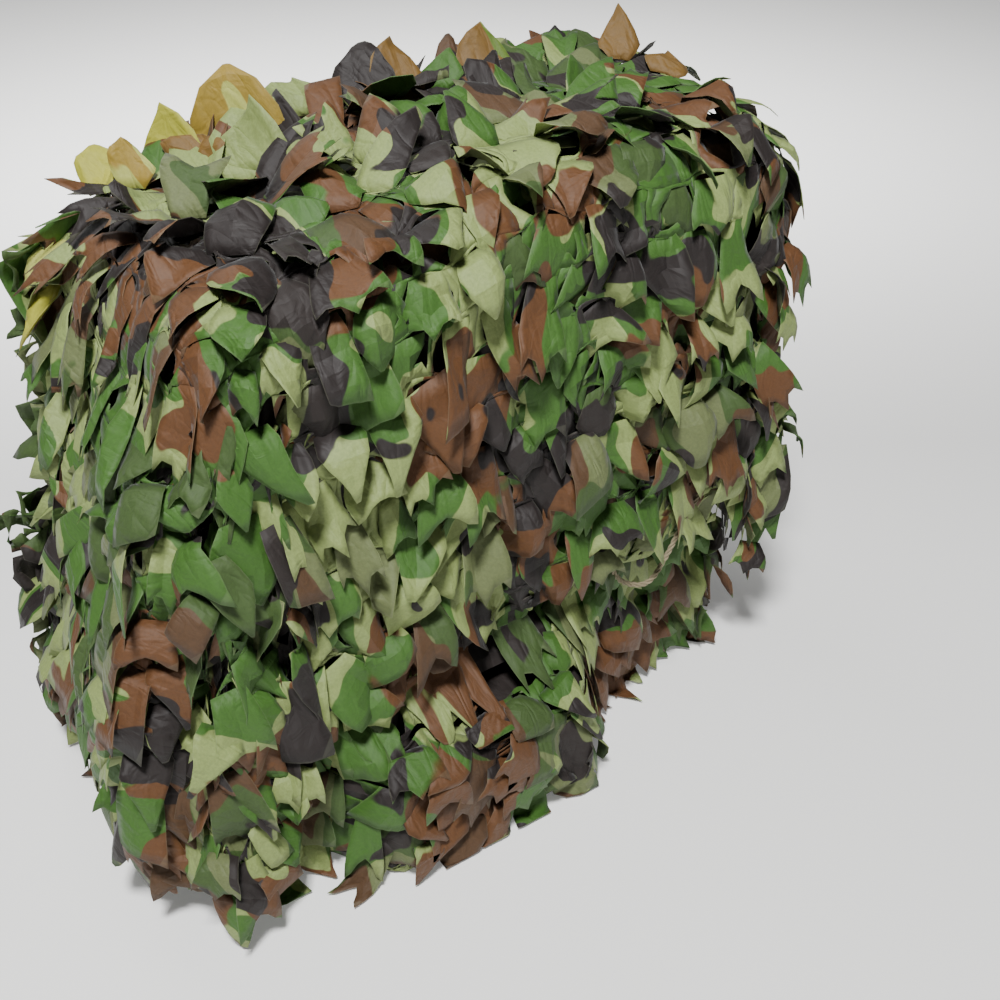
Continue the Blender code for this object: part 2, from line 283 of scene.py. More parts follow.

# Leaves that stand up along the top edge, with the colour each one is nearly all of: bias of the three
# printed colours, and how much painted light, as if shining through the leaf, lightens and warms it
TINTS = {
    "pale": (-2.5, -2.5, -2.5, 0.0),
    "lit green": (2.5, -2.5, -2.5, 0.9),
    "lit pale": (-2.5, -1.5, -2.5, 0.6),
    "golden": (-2.5, 0.4, -2.5, 0.6),
    "green": (2.5, -2.5, -2.5, 0.0),
    "brown": (0.0, 2.0, -2.5, 0.2),
    "black": (0.0, -0.5, 2.0, 0.0),
}
STANDING_DEPTH = 0.002
# p, q, turn, shape, length, width, lift, curl, colour
STANDING_LEAVES = (
    (-0.350, 0.020, -1.50, "round", 0.056, 0.034, 0.40, -0.5, "lit green"),
    (-0.300, 0.010, -1.60, "tongue", 0.046, 0.034, 0.40, -0.3, "lit pale"),
    (-0.220, 0.000, 2.30, "round", 0.036, 0.036, 0.35, 0.2, "lit green"),
    (-0.180, 0.020, 2.60, "round", 0.044, 0.036, 1.20, 0.2, "golden"),
    (-0.138, 0.010, 2.50, "tongue", 0.052, 0.050, 1.20, 0.1, "lit green"),
    (-0.130, 0.030, 2.40, "kite", 0.040, 0.050, 1.00, 0.0, "brown"),
    (-0.092, 0.030, 2.55, "tongue", 0.068, 0.074, 1.00, 0.1, "golden"),
    (-0.100, 0.060, 2.40, "kite", 0.044, 0.060, 0.80, 0.3, "pale"),
    (-0.036, 0.015, 2.50, "kite", 0.044, 0.042, 1.10, 0.0, "pale"),
    (0.012, 0.036, 2.40, "round", 0.058, 0.050, 1.00, 0.1, "black"),
    (0.040, 0.044, 2.70, "tongue", 0.036, 0.044, 0.80, -0.2, "brown"),
    (0.080, 0.036, 2.40, "kite", 0.036, 0.040, 0.80, 0.0, "green"),
    (0.130, 0.034, 2.60, "tongue", 0.040, 0.050, 0.80, 0.1, "brown"),
    (0.164, 0.036, 2.40, "kite", 0.036, 0.040, 0.80, 0.2, "green"),
    (0.208, 0.024, 2.50, "tongue", 0.044, 0.042, 0.80, 0.0, "black"),
    (0.258, 0.060, 2.60, "kite", 0.048, 0.042, 0.90, 0.1, "brown"),
    (0.262, 0.110, 2.30, "tongue", 0.040, 0.040, 0.80, 0.1, "brown"),
)

# Rope along the end edge: places along and below the hem, how far off the cloth, and its three strands
ROPE_ROUTE = (
    (-0.130, -0.026, -0.0047),
    (-0.070, -0.028, -0.0047),
    (0.000, -0.026, -0.0047),
    (0.065, -0.022, -0.0047),
    (0.105, -0.004, -0.0047),
    (0.128, 0.030, -0.004),
    (0.150, 0.033, 0.0050),
    (0.170, 0.010, 0.0050),
    (0.190, -0.018, 0.0042),
    (0.212, -0.044, 0.0042),
)
ROPE_POINTS_A_LEG = 7
ROPE_RADIUS = 0.0026
ROPE_STRANDS = 3
ROPE_LAY = 0.019
ROPE_STEP = 0.0015
STRAND_SIDES = 8
STRAND_UNEVEN = (0.10, 0.004)

# The one sheet: its lines along and across, the depth of a layer on the flat cloth, and how far it lies
# under the leaves and wavers there
SHEET_COLUMNS = 72
SHEET_LEFT = 22
SHEET_TOP = 34
SHEET_TOP_ROWS = 12
SHEET_FRONT_ROWS = 22
SHEET_LAYER = 0.24
SHEET_DEPTH = 0.018
SHEET_WOBBLE = (0.010, 0.013)

# How far the soft cloth may reach past its solid's box
ROOM = 0.009
ROOM_SHARE = 0.025

# Print on the cloth, painted light on leaves lit from behind, and the paler cut edge, partly a painted
# highlight
BIAS_STRENGTH = 0.09
PRINT_BLUR = 0.004
# Painted light: how much and in what colour leaves lit from behind are drawn warmer and lighter
PAINTED_GLOW_SHARE = 0.6
PAINTED_GLOW_COLOUR = "#a29430"
# Paler cut edge, partly the yarn at the cut and partly a painted highlight: its colour and how much of it
RIM_COLOUR = "#d8dcb8"
RIM = 0.05

# Floor and lights: name, place, where it points, size, power
FLOOR_SIZE = 6.0
FLOOR_GLOW = 0.16
WORLD_STRENGTH = 0.065
BUNDLE_MIDDLE = Vector((0.0, 0.0, 0.25))
LIGHTS = (
    ("key", Vector((-0.8, -0.95, 2.5)), BUNDLE_MIDDLE, 0.4, 116.0),
    ("fill", Vector((1.6, -1.6, 1.2)), BUNDLE_MIDDLE, 1.6, 3.0),
    ("rear", Vector((-0.3, 1.6, 1.6)), BUNDLE_MIDDLE, 1.0, 14.0),
    ("background", Vector((0.7, 1.3, 1.8)), Vector((2.2, 4.0, 0.0)), 1.6, 150.0),
)

# Camera
CAMERA_TARGET = Vector((0.080, 0.014, 0.190))
CAMERA_AZIMUTH = -35.0
CAMERA_ELEVATION = 33.0
CAMERA_DISTANCE = 1.09
CAMERA_LENS = 42.0


def ramp(low, high, value):
    """Smooth step from 0 at low to 1 at high."""
    t = min(1.0, max(0.0, (value - low) / (high - low)))
    return t * t * (3.0 - 2.0 * t)


def table_value(column, height):
    """Value of a column of END_TABLE at a height."""
    index = END_COLUMNS.index(column)
    rows = END_TABLE
    if height <= rows[0][0]:
        return rows[0][index]
    for low, high in zip(rows, rows[1:]):
        if height <= high[0]:
            share = (height - low[0]) / (high[0] - low[0])
            return low[index] + share * (high[index] - low[index])
    return rows[-1][index]


def ripple(wave, x, y, z):
    """Soft unevenness at a place; wave is its amount and its wavelength."""
    return wave[0] * noise.noise(Vector((x, y, z)) / wave[1])


def stack_front(x, z):
    """Y of the front folds: the lowest layers bulge forward between the drape's corners."""
    lip = ramp(LIP_LEFT - LIP_EDGE, LIP_LEFT + LIP_EDGE, x)
    lip *= 1.0 - ramp(LIP_RIGHT - LIP_EDGE, LIP_RIGHT + LIP_EDGE, x)
    lip *= 1.0 - ramp(LIP_TOP - LIP_EDGE, LIP_TOP + LIP_EDGE, z)
    setback = SETBACK * ramp(SETBACK_LEFT, SETBACK_RIGHT, x) * (1.0 - ramp(0.0, SETBACK_TOP, z))
    draw = FRONT_DRAW * ramp(DRAW_START, STACK_TOP, z)
    return STACK_FRONT + (LIP_FRONT - STACK_FRONT) * lip + setback + draw


def stack_back(z):
    """Y of the back folds, a little fuller at mid height."""
    bulge = BACK_BULGE * math.sin(math.pi * z / STACK_TOP)
    return STACK_BACK + bulge - BACK_DRAW * ramp(DRAW_START, STACK_TOP, z)


def top_rise(x):
    """How far the top of the bundle is above its usual height."""
    return TOP_RISE * ramp(RISE_START, RISE_END, x) - TOP_DIP


def stack_point(s, station):
    """Point of the stack. s runs 0 to 1 from its left end to its right end."""
    share, z, fold, layer = station
    left = table_value("left", z) + LEFT_SWAY * math.sin(2.3 * layer)
    right = table_value("right", z) + RIGHT_SWAY * math.sin(1.7 * layer + 1.0)
    if 0.0 < share < 0.5:
        left -= SIDE_TIP
        right += SIDE_TIP
    corner = CORNER_DRAW * (1.0 - ramp(0.0, CORNER_DEPTH, share))
    x = left + corner + s * (right - left - 2.0 * corner)
    front = stack_front(x, z) + ripple(FOLD_WAVE, x, 0.0, 3.0 * z)
    back = stack_back(z) + ripple(FOLD_WAVE, x, 5.0, 3.0 * z)
    y = front + share * (back - front) + fold
    sag = ripple(SAG_WAVE, x, y, 0.0)
    sag -= END_SAG * ramp(END_ZONE, 1.0, abs(2.0 * s - 1.0)) * ramp(0.1 * STACK_TOP, 0.6 * STACK_TOP, z)
    sag -= EDGE_SAG * ramp(EDGE_ZONE, 1.0, abs(2.0 * share - 1.0)) * ramp(0.3 * STACK_TOP, STACK_TOP, z)
    return Vector((x, y, z + ramp(SETTLE_START, SETTLE_END, z) * sag + top_rise(x) * z / STACK_TOP))


def stack_stations():
    """Stations of the back-and-forth section, from the lowest layer to the top one."""
    stations = []
    radius = 0.5 * LAYER_PITCH
    for layer in range(LAYERS):
        z = SHEET_HALF + layer * LAYER_PITCH
        backward = (LAYERS - 1 - layer) % 2 == 0
        for step in FLAT_STATIONS:
            stations.append((step if backward else 1.0 - step, z, 0.0, layer))
        if layer == LAYERS - 1:
            break
        side = 1.0 if backward else -1.0
        for angle in FOLD_ANGLES:
            turn = math.radians(angle)
            height = z + radius + radius * math.sin(turn)
            stations.append((0.5 + 0.5 * side, height, side * radius * math.cos(turn), layer))
    return stations


def hang(distance):
    """How far out and how far down a strip lies that runs this far past a rounded top edge."""
    quarter = 0.5 * math.pi * EDGE_RADIUS
    if distance < quarter:
        turn = distance / EDGE_RADIUS
        return EDGE_RADIUS * math.sin(turn), EDGE_RADIUS * (1.0 - math.cos(turn))
    return EDGE_RADIUS, EDGE_RADIUS + distance - quarter


def drape_point(p, q):
    """Point of the draped layer. p runs along X, q from the back edge of the top over the front edge."""
    sideways = max(0.0, TOP_LEFT - p, p - TOP_RIGHT)
    sign = -1.0 if p < 0.5 * (TOP_LEFT + TOP_RIGHT) else 1.0
    sideways *= LEFT_BACK_SHARE + (1.0 - LEFT_BACK_SHARE) * ramp(0.0, TOP_DEPTH, q)
    forward = max(0.0, q - TOP_DEPTH)
    distance = math.hypot(sideways, forward)
    base_x = min(TOP_RIGHT, max(TOP_LEFT, p))
    base_y = TOP_BACK - min(q, TOP_DEPTH)
    top = DRAPE_TOP + top_rise(base_x) + ripple(TOP_WAVE, p, q, 2.0)
    top += BACK_SWELL * ramp(TOP_DEPTH, 0.0, q)
    if distance == 0.0 and q < 0.0:
        turn = min(-q / BACK_RADIUS, 0.5 * math.pi)
        past = max(0.0, -q - 0.5 * math.pi * BACK_RADIUS)
        down = BACK_RADIUS * (1.0 - math.cos(turn)) + past
        return Vector((base_x, TOP_BACK + BACK_RADIUS * math.sin(turn), top - down))
    if distance == 0.0:
        return Vector((base_x, base_y, top))
    side = sideways / distance
    front = forward / distance
    out, drop = hang(distance)
    over = top - drop - FLOOR_HEIGHT
    z = FLOOR_HEIGHT + 0.5 * (over + math.hypot(over, FLOOR_BEND))
    loose = ramp(0.0, 2.0 * EDGE_RADIUS, distance)
    end = table_value("left", z) if sign < 0.0 else table_value("right", z)
    side_room = abs(end - base_x) - EDGE_RADIUS + DRAPE_GAP
    front_room = base_y - EDGE_RADIUS - stack_front(base_x + 0.5 * sign * side * EDGE_RADIUS, z) + DRAPE_GAP
    room = side * side * max(0.0, side_room) + front * front * max(0.0, front_room)
    angle = math.atan2(front, side)
    pleat = PLEAT_DEPTH * math.sin(2.0 * angle) * (PLEAT_OFFSET - math.cos(4.0 * PLEATS * angle))
    pleat *= ramp(EDGE_RADIUS, PLEAT_FULL, distance)
    wave = ripple(DRAPE_WAVE, 0.6 * p, 0.25 * q, 7.0)
    spread = CORNER_SPREAD * math.sin(2.0 * angle) * ramp(SPREAD_TOP, 0.0, z)
    spill = min(FLOOR_SPILL, SPILL_SHARE * max(0.0, -over))
    reach = out + loose * (room + wave) + pleat + spread + spill
    return Vector((base_x + sign * side * reach, base_y - front * reach, z))


def corner_draw(y, z):
    """How far an end of the stack is drawn in at its front corner."""
    front = stack_front(0.0, max(z, LIP_TOP + LIP_EDGE))
    return CORNER_DRAW * (1.0 - ramp(0.0, CORNER_DEPTH, (y - front) / (stack_back(z) - front)))


def left_wall(a, b):
    """Left end of the stack: a runs to the front, b runs down."""
    z = STACK_TOP - b
    x = table_value("left", z) + corner_draw(-a, z) - END_OFFSET
    return Vector((x, -a, z + top_rise(TOP_LEFT) * z / STACK_TOP))


def right_wall(a, b):
    """Right end of the stack: a runs to the back, b runs down."""
    z = STACK_TOP - b
    x = table_value("right", z) - corner_draw(a, z) + END_OFFSET
    return Vector((x, a, z + top_rise(TOP_RIGHT) * z / STACK_TOP))


def back_wall(a, b):
    """Back folds of the stack: a runs to the left, b runs down."""
    z = STACK_TOP - b
    y = stack_back(z) + 0.5 * LAYER_PITCH + BACK_OFFSET
    return Vector((-a, y, z + top_rise(-a) * z / STACK_TOP))


def front_wall(a, b):
    """Front folds of the stack: a runs to the right, b runs down."""
    z = STACK_TOP - b
    return Vector((a, stack_front(a, z - LAYER_PITCH) - 0.5 * LAYER_PITCH - FRONT_OFFSET, z))


def outward(surface, a, b):
    """Outward direction of a surface at one of its flat places."""
    along = surface(a + SURFACE_STEP, b) - surface(a - SURFACE_STEP, b)
    across = surface(a, b + SURFACE_STEP) - surface(a, b - SURFACE_STEP)
    return across.cross(along).normalized()


def local_frame(surface, a, b):
    """Point and outward direction at a flat place, how far a leaf there follows the surface, its width.

    A leaf follows fully where the surface keeps the cloth's flat size, and is rigid and folded narrow
    where the surface gathers the cloth in.
    """
    full = fullness(surface, a, b)
    follow = ramp(*GATHERED, full) * ramp(*SPREAD_OUT, full)
    return surface(a, b), outward(surface, a, b), follow, NARROW + (1.0 - NARROW) * ramp(*NARROWED, full)


def fullness(surface, a, b):
    """Size of the surface at a flat place as a share of the cloth's flat size."""
    step = FULLNESS_STEP
    along = surface(a + step, b) - surface(a - step, b)
    across = surface(a, b + step) - surface(a, b - step)
    return across.cross(along).length / (4.0 * step * step)


def settle_on_floor(point, out, height):
    """Keeps a point above the floor: what would go through it lies outward on it."""
    if point.z >= height:
        return point
    flat = Vector((out.x, out.y, 0.0))
    if flat.length > 0.01:
        flat.normalize()
    return Vector((point.x, point.y, height)) + FLOOR_SLIDE * (height - point.z) * flat


def linear_colour(text):
    """Linear RGBA of an sRGB hex colour."""
    values = []
    for start in (1, 3, 5):
        value = int(text[start:start + 2], 16) / 255.0
        values.append(value / 12.92 if value <= 0.04045 else ((value + 0.055) / 1.055) ** 2.4)
    return (*values, 1.0)


def add_node(tree, kind, out, inputs=(), **settings):
    """Adds a shader node and gives one of its outputs, or nothing where out is None.

    An input given as a socket is linked, any other value is set.
    """
    made = tree.nodes.new("ShaderNode" + kind)
    for name, value in settings.items():
        setattr(made, name, value)
    for name, value in dict(inputs).items():
        socket = made.inputs[name]
        if isinstance(value, bpy.types.NodeSocket):
            tree.links.new(value, socket)
        else:
            socket.default_value = value
    return None if out is None else made.outputs[out]


def blank_material(name):
    """A new material and its empty tree."""
    made = bpy.data.materials.new(name)
    made.use_nodes = True
    made.node_tree.nodes.clear()
    return made, made.node_tree


def cloth_material(name, colours, roughness):
    """Printed polyester, woven from 210 denier yarn and cut hot.

    Seen from a step away it has blotches with crisp outlines, a soft satin light along its creases, and
    edges a shade paler, partly where the cut shows the undyed yarn and partly a painted highlight along
    the cut. Leaves with a painted glow get painted light, warmer and lighter as if lit from behind.
    Scales are cells of the pattern a metre.
    """
    made, tree = blank_material(name)
    flat = add_node(tree, "UVMap", "UV", uv_map="flat")
    stretched = add_node(tree, "Mapping", 0, {"Vector": flat, "Scale": (1.0, 0.62, 1.0)})
    # Outlines of the blotches waver by up to 30 mm
    warp = add_node(
        tree, "TexNoise", "Color", {"Vector": stretched, "Scale": 24.0, "Detail": 1.5, "Roughness": 0.5},
        noise_dimensions="3D",
    )
    centred = add_node(tree, "VectorMath", 0, {0: warp, 1: (0.5, 0.5, 0.5)}, operation="SUBTRACT")
    moved = add_node(
        tree, "VectorMath", 0, {0: centred, 1: (0.060, 0.060, 0.0), 2: stretched},
        operation="MULTIPLY_ADD",
    )
    gathered = add_node(tree, "Attribute", "Vector", attribute_name="bias")
    bias = add_node(tree, "SeparateXYZ", 0, {"Vector": gathered}).node
    # Blotches about 60 mm from one to the next, and longer along the drop
    colour = colours[0]
    for place, scale, threshold, tone, axis in (
        (3.1, 18.0, 0.490, colours[1], "X"),
        (8.7, 16.0, 0.570, colours[2], "Y"),
        (5.3, 17.0, 0.580, colours[3], "Z"),
    ):
        field = add_node(
            tree, "TexNoise", "Fac", {"Vector": moved, "W": place, "Scale": scale, "Detail": 1.0,
                "Roughness": 0.4}, noise_dimensions="4D",
        )
        field = add_node(
            tree, "Math", 0, {0: bias.outputs[axis], 1: BIAS_STRENGTH, 2: field},
            operation="MULTIPLY_ADD",
        )
        inside = add_node(
            tree, "MapRange", "Result", {"Value": field, "From Min": threshold - PRINT_BLUR,
                "From Max": threshold + PRINT_BLUR}, interpolation_type="SMOOTHSTEP",
        )
        colour = add_node(tree, "Mix", 2, {0: inside, 6: colour, 7: tone}, data_type="RGBA")
    # Unevenness of the dye, about 2 mm
    grain = add_node(
        tree, "TexNoise", "Fac", {"Vector": flat, "Scale": 420.0, "Detail": 2.0, "Roughness": 0.7},
        noise_dimensions="2D",
    )
    value = add_node(
        tree, "MapRange", "Result", {"Value": grain, "From Min": 0.3, "From Max": 0.7, "To Min": 0.90,
            "To Max": 1.10},
    )
    # Painted light: leaves with light behind them are drawn warmer and lighter, as if it shone through the
    # cloth
    glow = add_node(tree, "Attribute", "Fac", attribute_name="glow")
    warm = add_node(tree, "Math", 0, {0: glow, 1: PAINTED_GLOW_SHARE}, operation="MULTIPLY")
    colour = add_node(tree, "Mix", 2, {0: warm, 6: colour, 7: linear_colour(PAINTED_GLOW_COLOUR)}, data_type="RGBA")
    value = add_node(tree, "Math", 0, {0: glow, 1: PAINTED_GLOW_SHARE, 2: value}, operation="MULTIPLY_ADD")
    colour = add_node(tree, "HueSaturation", 0, {"Color": colour, "Value": value})
    # Paler cut edge: partly the yarn at the cut, partly a painted highlight where light catches the edge
    edge = add_node(tree, "Attribute", "Fac", attribute_name="rim")
    cut = add_node(
        tree, "MapRange", "Result", {"Value": edge, "From Min": 0.88, "From Max": 0.98, "To Max": RIM},
    )
    colour = add_node(tree, "Mix", 2, {0: cut, 6: colour, 7: linear_colour(RIM_COLOUR)}, data_type="RGBA")
    # Soft creases about 13 mm apart, and sharp crinkles about 11 mm apart that run down the leaf
    creases = add_node(
        tree, "TexNoise", "Fac", {"Vector": flat, "Scale": 75.0, "Detail": 3.0, "Roughness": 0.5,
            "Distortion": 0.8}, noise_dimensions="2D",
    )
    hanging_down = add_node(tree, "Mapping", 0, {"Vector": flat, "Scale": (1.0, 0.30, 1.0)})
    crinkle = add_node(
        tree, "TexNoise", "Fac", {"Vector": hanging_down, "Scale": 90.0, "Detail": 1.0,
            "Roughness": 0.4, "Distortion": 0.4}, noise_dimensions="2D",
    )
    for operation, inputs in (
        ("SUBTRACT", {1: 0.5}), ("ABSOLUTE", {}), ("MULTIPLY_ADD", {1: 2.0, 2: creases}),
    ):
        crinkle = add_node(tree, "Math", 0, {0: crinkle, **inputs}, operation=operation)
    soft = add_node(tree, "Bump", "Normal", {"Height": crinkle, "Strength": 0.7, "Distance": 0.0016})
    # Threads are about 0.3 mm apart, too fine to show, so the weave is drawn at 0.6 mm
    weave = add_node(
        tree, "TexVoronoi", "Distance", {"Vector": flat, "Scale": 1600.0, "Randomness": 0.15},
        voronoi_dimensions="2D", distance="CHEBYCHEV",
    )
    fine = add_node(
        tree, "Bump", "Normal", {"Height": weave, "Strength": 0.25, "Distance": 0.0002, "Normal": soft},
    )
    shine = add_node(
        tree, "MapRange", "Result", {"Value": creases, "To Min": roughness - 0.06,
            "To Max": roughness + 0.08},
    )
    shader = add_node(
        tree, "BsdfPrincipled", 0, {"Base Color": colour, "Roughness": shine, "IOR": 1.5,
            "Normal": fine, "Sheen Weight": 0.05, "Sheen Roughness": 0.4},
    )
    add_node(tree, "OutputMaterial", None, {"Surface": shader})
    return made


def cloth_materials(settings):
    """The printed face of the cloth, and its reverse, where the print shows through duller, and darker as
    painted shade for the leaves lying deeper in the net.
    """
    made = []
    for side, roughness in (("face", 0.66), ("reverse", 0.70)):
        colours = [tuple(getattr(settings, f"{side}_{tone}")) for tone in ("pale", *BIAS_ORDER)]
        made.append(cloth_material(f"printed_polyester_{side}", colours, roughness))
    return made


def cloth_mesh():
    """An empty cloth mesh with its flat-place map and its print bias, painted glow and rim values."""
    bm = bmesh.new()
    bm.verts.layers.float_vector.new("bias")
    for name in ("glow", "rim"):
        bm.verts.layers.float.new(name)
    bm.loops.layers.uv.new("flat")
    return bm


def cloth_layers(bm):
    """The layers of a cloth mesh: flat-place map, rim, print bias, painted glow."""
    layers = bm.verts.layers
    return bm.loops.layers.uv["flat"], layers.float["rim"], layers.float_vector["bias"], layers.float["glow"]


def print_bias(place):
    """How strongly each colour of the print gathers at a place."""
    bias = [0.0, 0.0, 0.0]
    for x, z, wide, high, colour, strength in BIAS_SPOTS:
        amount = strength * ramp(1.5, 0.3, math.hypot((place.x - x) / wide, (place.z - z) / high))
        if colour == "pale":
            bias = [value - amount for value in bias]
        else:
            bias[BIAS_ORDER.index(colour)] += amount
    return Vector(bias)


def cut_leaf(rng, length, width, name=None):
    """Outline of a flat leaf: its row of SHAPES, its lean, which way round it is, and its size."""
    rows = [row for row in SHAPES if row[0] == name] or SHAPES
    shape = rng.choices(rows, [row[1] for row in rows])[0]
    flip = rng.choice((-1.0, 1.0))
    return shape, flip * shape[4] * rng.uniform(0.5, 1.2), flip, length, width


def leaf_place(cut, u, v):
    """Sideways place, half width and share of the length at a point of the flat leaf."""
    shape, lean, flip, _, width = cut
    half = 0.5 * width * shape[2][round(v * LEAF_ROWS)]
    v *= 1.0 + (shape[3][round(0.5 * (flip * u + 1.0) * LEAF_COLUMNS)] - 1.0) * v
    return u * half + lean * width * v * v, half, v


def lay_flat(faces, uv, flats):
    """Gives the corners of some faces their places on the flat cloth."""
    for face in faces:
        for loop in face.loops:
            loop[uv].uv = flats[loop.vert]


def grid_lines(bm, columns, rows):
    """A new grid, as its vertices with their column and row lines."""
    made = bmesh.ops.create_grid(bm, x_segments=columns, y_segments=rows, size=1.0)["verts"]
    return {
        vert: (round(0.5 * (vert.co.x + 1.0) * columns), round(0.5 * (1.0 - vert.co.y) * rows))
        for vert in made
    }


def add_leaf(bm, surface, spot, cut, pose, rng, depth, shift, reverse, limit, tint=None):
    """Adds one leaf: a small sheet hinged on the surface at a flat spot, then bent off it.

    spot is (a, b, turn, stray), with turn measured from the direction of growing b and stray from
    straight down. pose is (lift, curl, cup, twist), angles in radians. depth and limit are the height
    of the hinge and the most that the leaf stands off, shift moves the print, and tint is the bias of
    its colours and its painted glow, light painted as if shining through it.
    """
    uv, rim, bias, shine = cloth_layers(bm)
    a, b, turn, stray = spot
    lift, curl, cup, twist = pose
    length = cut[3]
    keel = rng.choice(KEELS) * rng.uniform(0.6, 1.0)
    fold = rng.choice((-1, 0, 1)) / 3.0
    slant, start, bend = rng.uniform(-0.45, 0.45), rng.uniform(0.30, 0.70), rng.choice(BENDS)
    hinge, normal, follow, narrow = local_frame(surface, a, b)
    cos_turn, sin_turn = math.cos(turn), math.sin(turn)
    cos_stray, sin_stray = cos_turn, sin_turn
    flat_down = (surface(a, b + SURFACE_STEP) - surface(a, b - SURFACE_STEP)).normalized()
    if abs(normal.z) < STEEP:
        flat_down = (normal.z * normal - Vector((0.0, 0.0, 1.0))).normalized()
        cos_stray, sin_stray = math.cos(stray), math.sin(stray)
    flat_side = normal.cross(flat_down).normalized()
    # A tint carries the leaf's painted glow: painted light, as if shining through the leaf
    leaf_bias, glow = (print_bias(hinge), 0.0) if tint is None else (Vector(tint[:3]), tint[3])
    lines = grid_lines(bm, LEAF_COLUMNS, LEAF_ROWS)
    flats = {}
    for vert, (column, row) in lines.items():
        u = 2.0 * column / LEAF_COLUMNS - 1.0
        sideways, half, v = leaf_place(cut, u, row / LEAF_ROWS)
        down = length * v
        flats[vert] = (
            a + shift[0] + sideways * cos_turn + down * sin_turn,
            b + shift[1] + down * cos_turn - sideways * sin_turn,
        )
        mean = lift + 0.5 * curl * v
        across = narrow * (u * half * math.cos(twist * v) + sideways - u * half)
        along = down * math.cos(mean) - cup * u * u * half * math.sin(lift + curl * v)
        height = down * math.sin(mean)
        height += math.cos(lift + curl * v) * cup * u * u * half * ramp(0.0, 0.5, v)
        height += (keel + 1.0 - narrow) * (abs(u - fold) - abs(fold)) * half * ramp(0.0, 0.6, v)
        height += u * half * math.sin(twist * v) + bend * length * max(0.0, v + slant * u - start)
        side = across * cos_turn + along * sin_turn
        fall = along * cos_turn - across * sin_turn
        if height > 0.0:
            height = limit * math.tanh(height / limit)
        place = hinge + (across * cos_stray + along * sin_stray) * flat_side
        place += (along * cos_stray - across * sin_stray) * flat_down
        if follow > 0.0:
            place = place.lerp(surface(a + side, b + fall), follow)
        place += (height + depth) * normal
        vert.co = settle_on_floor(place, normal, LEAF_FLOOR + ROW_STEP * row)
        vert[rim] = 1.0 if column in (0, LEAF_COLUMNS) or row == LEAF_ROWS else 0.0
        vert[bias] = leaf_bias
        vert[shine] = glow
    faces = {face for vert in lines for face in vert.link_faces}
    lay_flat(faces, uv, flats)
    if reverse:
        bmesh.ops.reverse_faces(bm, faces=list(faces))


def add_hole(bm, surface, centre, turn, cut, cell, depth, shift):
    """Adds the patch of cloth that a leaf is cut out of, drawn in as the hanging net draws it in."""
    uv, rim, bias, _ = cloth_layers(bm)
    shape, _, _, length, width = cut
    across = min(GATHER, HOLE_SHARE * cell / (max(shape[2]) * width))
    down = min(GATHER, HOLE_SHARE * cell / length)
    quarter = 0.5 * math.pi * round(turn / (0.5 * math.pi))
    columns, rows = LEAF_COLUMNS + 2, LEAF_ROWS + 2
    lines = grid_lines(bm, columns, rows)
    hole = set()
    flats = {}
    for vert, (column, row) in lines.items():
        if 0 < column < columns and 0 < row < rows:
            hole.add(vert)
            u, v = 2.0 * (column - 1) / LEAF_COLUMNS - 1.0, (row - 1) / LEAF_ROWS
            sideways, _, v = leaf_place(cut, u, v)
            side, fall, angle = across * sideways, down * length * (v - 0.5), turn
        else:
            side, fall, angle = cell * (column / columns - 0.5), cell * (row / rows - 0.5), quarter
        a = centre[0] + side * math.cos(angle) + fall * math.sin(angle)
        b = centre[1] + fall * math.cos(angle) - side * math.sin(angle)
        wobble = [ripple(WOBBLE, a, b, level) for level in (3.0, 9.0)]
        a, b = a + wobble[0], b + wobble[1]
        height = depth + ripple(SWELL, a, b, SWELL_SHIFT * depth)
        place = surface(a, b)
        vert.co = settle_on_floor(place + height * outward(surface, a, b), Vector(), LEAF_FLOOR)
        vert[rim] = 1.0 if vert in hole else 0.0
        vert[bias] = print_bias(place)
        flats[vert] = (a + shift[0], b + shift[1])
    faces = {face for vert in lines for face in vert.link_faces}
    lay_flat(faces, uv, flats)
    gone = [face for face in faces if hole.issuperset(face.verts)]
    bmesh.ops.delete(bm, geom=gone, context="FACES")


def add_cell(bm, surface, centre, turns, size, pose, rng, cell, depth, shift, reverse, limit):
    """Adds one cell of the net: the cloth around a hole, and the leaf that is cut out of it.

    turns is how the leaf is turned on the flat cloth and from straight down, size its length and width.
    """
    cut = cut_leaf(rng, size[0] * rng.uniform(0.75, 1.30), size[1] * rng.uniform(0.50, 1.00))
    turn, stray = turns
    add_hole(bm, surface, centre, turn, cut, cell, depth, shift)
    back = 0.5 * min(GATHER * cut[3], HOLE_SHARE * cell)
    spot = (centre[0] - back * math.sin(turn), centre[1] - back * math.cos(turn), turn, stray)
    add_leaf(bm, surface, spot, cut, pose, rng, depth, shift, reverse, limit)


def down_turn(p, q):
    """Turn that points a leaf of the draped layer down the slope."""
    side = min(0.0, p - TOP_LEFT) + max(0.0, p - TOP_RIGHT)
    forward = max(0.0, q - TOP_DEPTH)
    return math.atan2(side, forward + 0.001)


def hanging(rng):
    """Pose of a leaf that hangs against the bundle."""
    lift = rng.uniform(0.06, 0.42)
    curl = rng.uniform(-0.35, 0.12)
    if rng.random() < 0.28:
        lift += 0.75
        curl = rng.uniform(-1.5, -0.4)
    return lift, curl, rng.uniform(-0.08, 0.05), rng.uniform(-0.6, 0.6)


def standing(rng):
    """Pose of a leaf that curls up from the top."""
    lift = rng.uniform(0.15, 0.95)
    return lift, rng.uniform(-0.9, 0.4), rng.uniform(-0.10, 0.10), rng.uniform(-0.7, 0.7)


